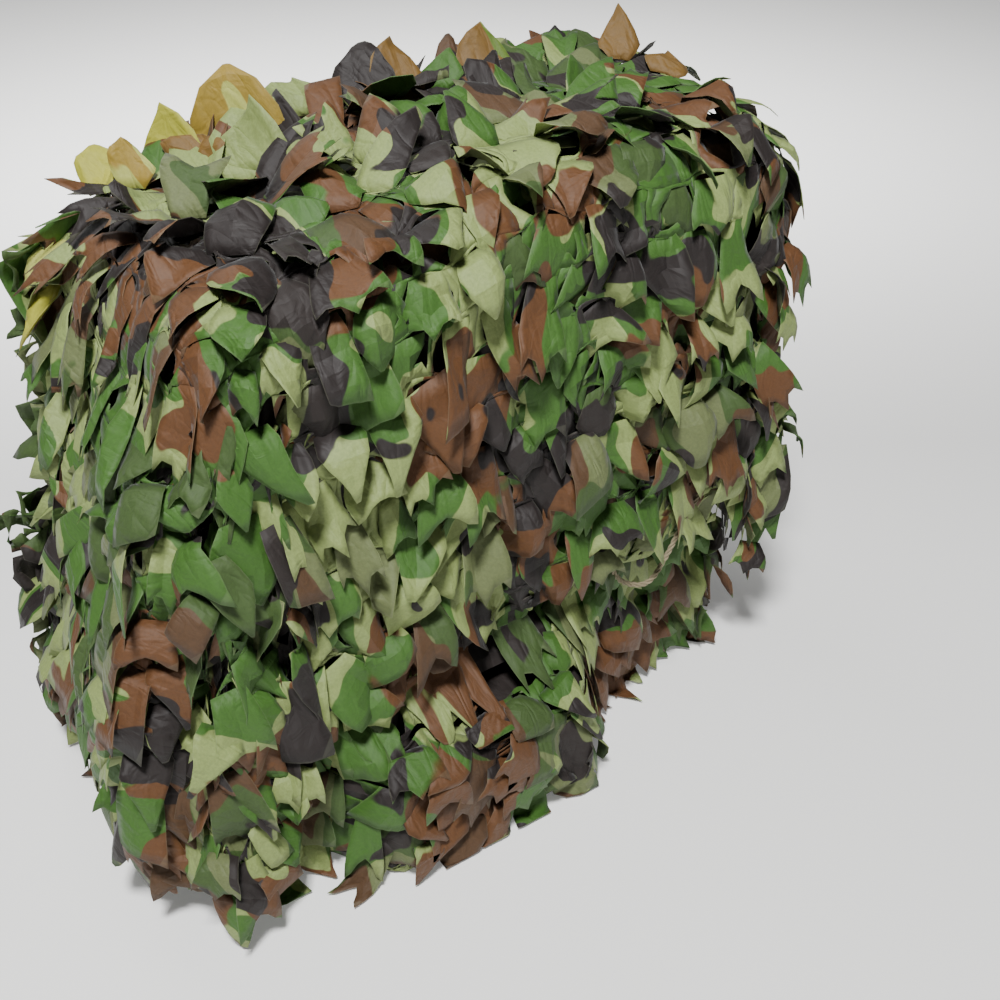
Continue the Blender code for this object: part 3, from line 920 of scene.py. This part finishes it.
def draped_leaf(rng, p, q, stray, leaf_size):
    """Turn, pose and size of a leaf of the draped layer, and how far it may stand off."""
    size = (leaf_size, leaf_size)
    if q < 0.0:
        return math.pi + stray, hanging(rng), size, BACK_LIMIT
    if TOP_LEFT < p < TOP_RIGHT and q < TOP_DEPTH:
        turn = (AWAY_TURN if rng.random() < AWAY_SHARE else 0.0) + TOP_STRAY * stray
        return turn, standing(rng), size, SPIKE_LIMIT if p > SPIKE_START else TOP_LIMIT
    lift, curl, cup, twist = hanging(rng)
    foot = ramp(FOOT_TOP, FOOT_BOTTOM, drape_point(p, q).z)
    lift += FOOT_LIFT * foot
    limit = HANG_LIMIT + FOOT_LIMIT * foot
    if p > TOP_RIGHT:
        limit = RIGHT_LIMIT
    if p < TOP_LEFT - STRIP_START:
        limit = LEFT_LIMIT
        if q < STRIP_END:
            size = (STRIP_LENGTH * leaf_size, STRIP_WIDTH * leaf_size)
            lift, twist = STRIP_CALM * lift, STRIP_CALM * twist
    size = (min(size[0], HEM + HEM_TIP - q), size[1])
    return down_turn(p, q) + stray, (lift, curl, cup, twist), size, limit


def print_shift(rng, part):
    """Part of the print that a cell shows, a little off that of its neighbours."""
    return tuple(place + rng.uniform(-PRINT_STRAY, PRINT_STRAY) for place in part)


def draped_net(settings, under):
    """The cut cloth of the draped layer, or the layer just under it, leaf by leaf."""
    rng = random.Random(settings.seed + 40 * under)
    bm = cloth_mesh()
    cell = settings.cell_size * (UNDER_CELL if under else 1.0)
    depth = UNDER_DEPTH if under else 0.0
    row = 0
    q = (FIRST_ROW - BACK_ROWS) * cell
    while q < HEM - FIRST_ROW * cell:
        p = TOP_LEFT - LEFT_DROP - END_DROP + cell * (0.5 * (row % 2) + 0.3 * under)
        last = TOP_RIGHT + RIGHT_DROP + 0.5 * END_DROP
        if q < 0.0:
            p, last = TOP_LEFT + 0.5 * cell * (row % 2), TOP_RIGHT
        while p < last:
            centre = (p, q)
            p += cell
            if rng.random() > (UNDER_FULL if under else DRAPED_FULL) * fullness(drape_point, *centre):
                continue
            past = TOP_LEFT - centre[0]
            if past > 0.0 and q > TOP_DEPTH and math.hypot(past, q - TOP_DEPTH) > CORNER_REACH:
                continue
            stray = rng.gauss(0.0, STRAY)
            turn, pose, size, limit = draped_leaf(rng, *centre, stray, settings.leaf_size)
            if under:
                pose = (0.5 * pose[0], 0.5 * pose[1], pose[2], 0.7 * pose[3])
                limit = UNDER_LIMIT
            tuck = END_TUCK * ramp(0.0, 0.5 * END_DROP, past - LEFT_DROP)
            shift = print_shift(rng, UNDER_PRINT if under else DRAPED_PRINT)
            # Painted shade: the layer underneath shows the darker reverse more often
            reverse = rng.random() < (UNDER_REVERSE_SHARE if under else REVERSE_SHARE)
            add_cell(
                bm, drape_point, centre, (turn, stray), size, pose, rng, cell, depth - tuck,
                shift, reverse, limit,
            )
        q += cell
        row += 1
    if not under:
        for p, q, turn, name, length, width, lift, curl, colour in STANDING_LEAVES:
            cut = cut_leaf(rng, length, width, name)
            pose = (lift, curl, rng.uniform(0.0, 0.3), rng.uniform(-0.4, 0.4))
            spot = (p, q, turn, turn + 0.5 * math.pi)
            add_leaf(
                bm, drape_point, spot, cut, pose, rng, STANDING_DEPTH, DRAPED_PRINT, False,
                STANDING_LIMIT, TINTS[colour],
            )
    return bm


def folded_net(settings, walls):
    """The cut cloth along some of the walls of the stack."""
    rng = random.Random(settings.seed + len(walls))
    bm = cloth_mesh()
    cell = settings.cell_size
    size = (settings.leaf_size, settings.leaf_size)
    for surface, start, end, top, bottom, rise, more_lift in walls:
        z = top
        row = 0
        while z > bottom:
            a = start + 0.5 * cell * (row % 2)
            while a < end:
                lift, *rest = hanging(rng)
                shift = print_shift(rng, FOLDED_PRINT)
                turn = rng.gauss(0.0, WALL_STRAY)
                centre = (a, STACK_TOP - z)
                a += cell
                recess = surface is front_wall and centre[0] < LIP_RIGHT and z > LIP_TOP - 0.5 * LIP_EDGE
                if recess and rng.random() < RECESS_SKIP:
                    continue
                limit = RECESS_LIMIT if recess else FOOT_WALL_LIMIT if z < FOOT_HEIGHT else HANG_LIMIT
                add_cell(
                    bm, surface, centre, (turn, turn), size, (lift + more_lift, *rest), rng, cell,
                    WALL_DEPTH, shift, rng.random() < REVERSE_SHARE, limit,
                )
            z -= rise * cell
            row += 1
    return bm


# Surface, start, end, top, bottom, height of a row in cells, and more lift of the leaves
FRONT_WALLS = (
    (left_wall, -0.135, 0.120, 0.42, 0.022, 0.70, 0.05),
    (right_wall, -0.095, 0.135, 0.42, 0.016, 0.65, 0.05),
    (front_wall, -0.250, 0.250, 0.205, 0.008, 0.55, 0.12),
)
BACK_WALLS = (
    (back_wall, -0.300, 0.270, 0.47, 0.012, 0.62, 0.05),
    (back_wall, 0.284, 0.310, 0.25, 0.010, 0.55, 0.05),
)


def sheet_mesh():
    """The net as one sheet: the back-and-forth stack, then the draped layer with its openings, its print
    pushed to black as painted shade.
    """
    stack = stack_stations()
    drape_start = len(stack) + len(FOLD_ANGLES)
    columns, rows = SHEET_COLUMNS, drape_start + SHEET_TOP_ROWS + SHEET_FRONT_ROWS
    top_end = SHEET_LEFT + SHEET_TOP
    bm = cloth_mesh()
    uv, _, bias, _ = cloth_layers(bm)
    lines = grid_lines(bm, columns, rows)

    def column_place(i):
        """Flat place of a column line."""
        if i < SHEET_LEFT:
            return TOP_LEFT - LEFT_DROP * (SHEET_LEFT - i) / SHEET_LEFT
        if i > top_end:
            return TOP_RIGHT + RIGHT_DROP * (i - top_end) / (columns - top_end)
        return TOP_LEFT + (TOP_RIGHT - TOP_LEFT) * (i - SHEET_LEFT) / SHEET_TOP

    def row_place(r):
        """Flat place of a row line."""
        if r <= SHEET_TOP_ROWS:
            return TOP_DEPTH * r / SHEET_TOP_ROWS
        return TOP_DEPTH + FRONT_DROP * (r - SHEET_TOP_ROWS) / SHEET_FRONT_ROWS

    gone = []
    for face in bm.faces:
        i = min(lines[vert][0] for vert in face.verts)
        j = min(lines[vert][1] for vert in face.verts)
        beside = i < SHEET_LEFT or i >= top_end
        opening = j >= drape_start and (i + j) % 2 == 0 and j % 3 != 0
        if (j < drape_start and beside) or opening:
            gone.append(face)
    bmesh.ops.delete(bm, geom=gone, context="FACES")
    lines = {vert: line for vert, line in lines.items() if vert.is_valid}
    flats = {}
    places = {}
    for vert, (i, j) in lines.items():
        s = (i - SHEET_LEFT) / SHEET_TOP
        p = column_place(i)
        if j < len(stack):
            station = stack[j]
            places[vert] = stack_point(s, station)
            share = station[0] if station[3] % 2 else -station[0]
            flats[vert] = (p, -SHEET_LAYER * (LAYERS - station[3] + share))
        elif j < drape_start:
            low = stack_point(s, stack[-1])
            high = drape_point(p, 0.0)
            turn = math.radians(FOLD_ANGLES[j - len(stack)])
            blend = 0.5 + 0.5 * math.sin(turn)
            radius = 0.5 * (high.z - low.z)
            bulge = Vector((0.0, radius * math.cos(turn), 0.0))
            places[vert] = low.lerp(high, blend) + bulge
            flats[vert] = (p, -0.01 * (drape_start - j))
        else:
            q = row_place(j - drape_start)
            if 0 < i < columns and drape_start < j < rows:
                p += ripple(SHEET_WOBBLE, p, q, 11.0)
                q += ripple(SHEET_WOBBLE, p, q, 17.0)
            places[vert] = drape_point(p, q) - SHEET_DEPTH * outward(drape_point, p, q)
            flats[vert] = (p, q)
    for vert, place in places.items():
        vert.co = place
        # Painted shade: the whole sheet's print is pushed to black
        vert[bias] = INNER_PAINTED_SHADE_BIAS
    lay_flat(bm.faces, uv, flats)
    bmesh.ops.recalc_face_normals(bm, faces=bm.faces[:])
    return bm


def smooth_route(points, steps):
    """Points along a smooth curve through the given ones."""
    ends = [2.0 * points[0] - points[1]] + points + [2.0 * points[-1] - points[-2]]
    route = []
    for before, start, end, after in zip(ends, ends[1:], ends[2:], ends[3:]):
        for step in range(steps):
            t = step / steps
            bend = (2.0 * before - 5.0 * start + 4.0 * end - after) * t * t
            bend += (3.0 * start - before - 3.0 * end + after) * t * t * t
            route.append(start + 0.5 * ((end - before) * t + bend))
    route.append(points[-1])
    return route


def rope_mesh():
    """Three strands twisted around the middle line of the rope."""
    stops = []
    for p, below, off in ROPE_ROUTE:
        q = HEM + below
        stops.append(drape_point(p, q) + off * outward(drape_point, p, q))
    route = [stops[0]]
    for place in smooth_route(stops, 4 * ROPE_POINTS_A_LEG):
        while (place - route[-1]).length > ROPE_STEP:
            route.append(route[-1] + ROPE_STEP * (place - route[-1]).normalized())
    bm = bmesh.new()
    radius = ROPE_RADIUS / (1.0 + 2.0 / math.sqrt(3.0))
    middle = 2.0 / math.sqrt(3.0) * radius
    side = Vector((0.0, 0.0, 1.0))
    frames = []
    for before, place, after in zip([route[0]] + route, route, route[1:] + [route[-1]]):
        along = (after - before).normalized()
        side = (side - side.dot(along) * along).normalized()
        frames.append((place, side.copy(), along.cross(side)))
    last = len(route) - 1
    for strand in range(ROPE_STRANDS):
        for vert, (column, row) in grid_lines(bm, last, STRAND_SIDES).items():
            place, side, up = frames[column]
            turn = 2.0 * math.pi * (column * ROPE_STEP / ROPE_LAY + strand / ROPE_STRANDS)
            around = 2.0 * math.pi * row / STRAND_SIDES
            thin = 1.0 + ripple(STRAND_UNEVEN, *place.xy, place.z + strand)
            thin *= radius
            across = middle * math.cos(turn) + thin * math.cos(around)
            high = middle * math.sin(turn) + thin * math.sin(around)
            vert.co = place + across * side + high * up
    bmesh.ops.remove_doubles(bm, verts=bm.verts[:], dist=0.00001)
    bmesh.ops.holes_fill(bm, edges=[edge for edge in bm.edges if edge.is_boundary], sides=0)
    bmesh.ops.recalc_face_normals(bm, faces=bm.faces[:])
    bmesh.ops.translate(bm, verts=bm.verts[:], vec=FOOT_SHIFT)
    return bm


def cord_material():
    """Twisted cotton cord, undyed.

    Seen from a step away it is dull and a little fuzzy, with darker soil between its fibres. Fibres are
    drawn about 1 mm apart, coarser than they are, so that they show.
    """
    made, tree = blank_material("undyed_cotton_cord")
    place = add_node(tree, "TexCoord", "Object")
    fibres = add_node(
        tree, "TexNoise", "Fac", {"Vector": place, "Scale": 900.0, "Detail": 3.0, "Roughness": 0.6},
    )
    soil = add_node(tree, "TexNoise", "Fac", {"Vector": place, "Scale": 60.0, "Detail": 2.0})
    mixed = add_node(tree, "Math", 0, {0: fibres, 1: 0.4}, operation="MULTIPLY")
    mixed = add_node(tree, "Math", 0, {0: soil, 1: 0.6, 2: mixed}, operation="MULTIPLY_ADD")
    colour = add_node(
        tree, "Mix", 2, {0: mixed, 6: linear_colour("#5a4f38"), 7: linear_colour("#a4987a")},
        data_type="RGBA",
    )
    bump = add_node(tree, "Bump", "Normal", {"Height": fibres, "Strength": 0.5, "Distance": 0.0003})
    shader = add_node(
        tree, "BsdfPrincipled", 0, {"Base Color": colour, "Roughness": 0.85, "IOR": 1.5, "Normal": bump,
            "Sheen Weight": 0.2},
    )
    add_node(tree, "OutputMaterial", None, {"Surface": shader})
    return made


def add_object(name, data):
    """Adds an object to the scene."""
    made = bpy.data.objects.new(name, data)
    bpy.context.scene.collection.objects.link(made)
    return made


def mesh_object(name, bm, materials):
    """Adds a finished mesh to the scene."""
    mesh = bpy.data.meshes.new(name)
    bm.to_mesh(mesh)
    bm.free()
    for surface in materials:
        mesh.materials.append(surface)
    return add_object(name, mesh)


def keep_inside(bm):
    """Presses stray leaf tips back to the room that the soft cloth may take."""
    low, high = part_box("net_cloth")
    for vert in bm.verts:
        for axis in range(3):
            room = ROOM + ROOM_SHARE * (high[axis] - low[axis])
            most = high[axis] + room
            least = max(LEAF_FLOOR, low[axis] - room) if axis == 2 else low[axis] - room
            vert.co[axis] = min(most, max(least, vert.co[axis]))


def finish_cloth(name, bm, materials, thickness):
    """Makes the object and gives the sheet its thickness, with the reverse on its inner side."""
    bmesh.ops.translate(bm, verts=bm.verts[:], vec=FOOT_SHIFT)
    keep_inside(bm)
    for face in bm.faces:
        face.smooth = True
    for edge in bm.edges:
        edge.smooth = edge.calc_face_angle(0.0) < CREASE_ANGLE
    made = mesh_object(name, bm, materials)
    thick = made.modifiers.new("Thickness", "SOLIDIFY")
    thick.thickness = thickness
    thick.offset = -1.0
    thick.use_even_offset = False
    thick.material_offset = 1
    thick.material_offset_rim = 0
    return made


def colour_setting(name, text):
    """A colour setting that starts from an sRGB hex value."""
    return bpy.props.FloatVectorProperty(
        name=name, description=f"Printed colour: {name.lower()}", default=linear_colour(text),
        size=4, min=0.0, max=1.0, subtype="COLOR",
    )


class NetSettings(bpy.types.PropertyGroup):
    """Sizes and colours of the net"""

    leaf_size: bpy.props.FloatProperty(
        name="Leaf size", description="Usual length of a leaf", default=0.056, unit="LENGTH")
    cell_size: bpy.props.FloatProperty(
        name="Cell size", description="Distance from leaf to leaf", default=0.037, unit="LENGTH")
    thickness: bpy.props.FloatProperty(
        name="Cloth thickness", description="Thickness of the cloth", default=0.0005, unit="LENGTH")
    seed: bpy.props.IntProperty(
        name="Seed", description="Starts the unevenness of the leaves", default=7)
    face_pale: colour_setting("Face pale", "#7c8b50")
    face_green: colour_setting("Face green", "#365b1a")
    face_brown: colour_setting("Face brown", "#553415")
    face_black: colour_setting("Face black", "#19110f")
    # Reverse: the print shows through duller, and darker than the face as painted shade for the leaves lying
    # deeper
    reverse_pale: colour_setting("Reverse pale", "#5b643d")
    reverse_green: colour_setting("Reverse green", "#354a1d")
    reverse_brown: colour_setting("Reverse brown", "#48311a")
    reverse_black: colour_setting("Reverse black", "#1d1512")


class NET_OT_sheet(bpy.types.Operator):
    """Builds the folded sheet with its draped last layer"""

    bl_idname = "net.sheet"
    bl_label = "Build Folded Sheet"

    def execute(self, context):
        settings = context.scene.net_settings
        made = finish_cloth("net_sheet", sheet_mesh(), cloth_materials(settings), settings.thickness)
        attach(made, "root")
        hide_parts("net_cloth")
        return {"FINISHED"}


class NET_OT_leaves(bpy.types.Operator):
    """Builds the cut cloth with its leaves on the folded sheet"""

    bl_idname = "net.leaves"
    bl_label = "Build Cut Cloth"

    def execute(self, context):
        settings = context.scene.net_settings
        materials = [bpy.data.materials[f"printed_polyester_{side}"] for side in ("face", "reverse")]
        for name, bm in (
            ("draped_net", draped_net(settings, False)),
            ("under_net", draped_net(settings, True)),
            ("folded_net", folded_net(settings, FRONT_WALLS)),
            ("back_net", folded_net(settings, BACK_WALLS)),
        ):
            made = finish_cloth(name, bm, materials, settings.thickness)
            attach(made, "root")
        return {"FINISHED"}


class NET_OT_rope(bpy.types.Operator):
    """Builds the twisted rope at the end edge of the net"""

    bl_idname = "net.rope"
    bl_label = "Build Edge Rope"

    def execute(self, context):
        made = mesh_object("twisted_rope", rope_mesh(), [cord_material()])
        made.data.shade_smooth()
        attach(made, "root")
        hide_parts("edge_rope")
        return {"FINISHED"}


class NET_OT_studio(bpy.types.Operator):
    """Adds the floor, the soft light and the camera"""

    bl_idname = "net.studio"
    bl_label = "Build Studio"

    def execute(self, context):
        studio()
        return {"FINISHED"}


class NET_PT_panel(bpy.types.Panel):
    """Lists the pieces in the sidebar"""

    bl_idname = "NET_PT_panel"
    bl_label = "Camouflage Net"
    bl_space_type = "VIEW_3D"
    bl_region_type = "UI"
    bl_category = "Net"

    def draw(self, context):
        for name in NetSettings.__annotations__:
            self.layout.prop(context.scene.net_settings, name)
        for operator in OPERATORS:
            self.layout.operator(operator.bl_idname)


def stage_at(made, place, direction):
    """Puts a light or the camera in its place, pointing in a direction."""
    made.location = place
    made.rotation_mode = "QUATERNION"
    made.rotation_quaternion = direction.to_track_quat("-Z", "Y")


def studio():
    """Pale floor, soft light from the upper left, camera at the picture's angle."""
    pale, tree = blank_material("pale_floor")
    shader = add_node(
        tree, "BsdfPrincipled", 0, {"Base Color": linear_colour("#f4f4f2"), "Roughness": 0.8,
            "Emission Color": (1.0, 1.0, 1.0, 1.0), "Emission Strength": FLOOR_GLOW},
    )
    add_node(tree, "OutputMaterial", None, {"Surface": shader})
    bm = bmesh.new()
    bmesh.ops.create_grid(bm, x_segments=1, y_segments=1, size=FLOOR_SIZE)
    mesh_object("floor", bm, [pale])
    world = bpy.data.worlds.new("studio")
    world.use_nodes = True
    background = world.node_tree.nodes["Background"]
    background.inputs["Color"].default_value = linear_colour("#f8f7f2")
    background.inputs["Strength"].default_value = WORLD_STRENGTH
    bpy.context.scene.world = world
    for name, place, aim, size, power in LIGHTS:
        light = bpy.data.lights.new(name, "AREA")
        light.size = size
        light.energy = power
        stage_at(add_object(name, light), place, aim - place)
    azimuth = math.radians(CAMERA_AZIMUTH)
    elevation = math.radians(CAMERA_ELEVATION)
    back = Vector((
        math.sin(azimuth) * math.cos(elevation),
        -math.cos(azimuth) * math.cos(elevation),
        math.sin(elevation),
    ))
    data = bpy.data.cameras.new("camera")
    data.lens = CAMERA_LENS
    camera = add_object("camera", data)
    stage_at(camera, CAMERA_TARGET + CAMERA_DISTANCE * back, -back)
    bpy.context.scene.camera = camera


OPERATORS = (NET_OT_sheet, NET_OT_leaves, NET_OT_rope, NET_OT_studio)
CLASSES = (NetSettings, *OPERATORS, NET_PT_panel)


def register():
    """Registers the settings, the operators and the panel."""
    for cls in CLASSES:
        bpy.utils.register_class(cls)
    bpy.types.Scene.net_settings = bpy.props.PointerProperty(type=NetSettings)


def unregister():
    """Takes them away again."""
    del bpy.types.Scene.net_settings
    for cls in reversed(CLASSES):
        bpy.utils.unregister_class(cls)


def main():
    """Builds every piece."""
    register()
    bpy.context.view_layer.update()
    bpy.ops.net.sheet()
    bpy.ops.net.leaves()
    bpy.ops.net.rope()
    bpy.ops.net.studio()


if __name__ == "__main__":
    main()
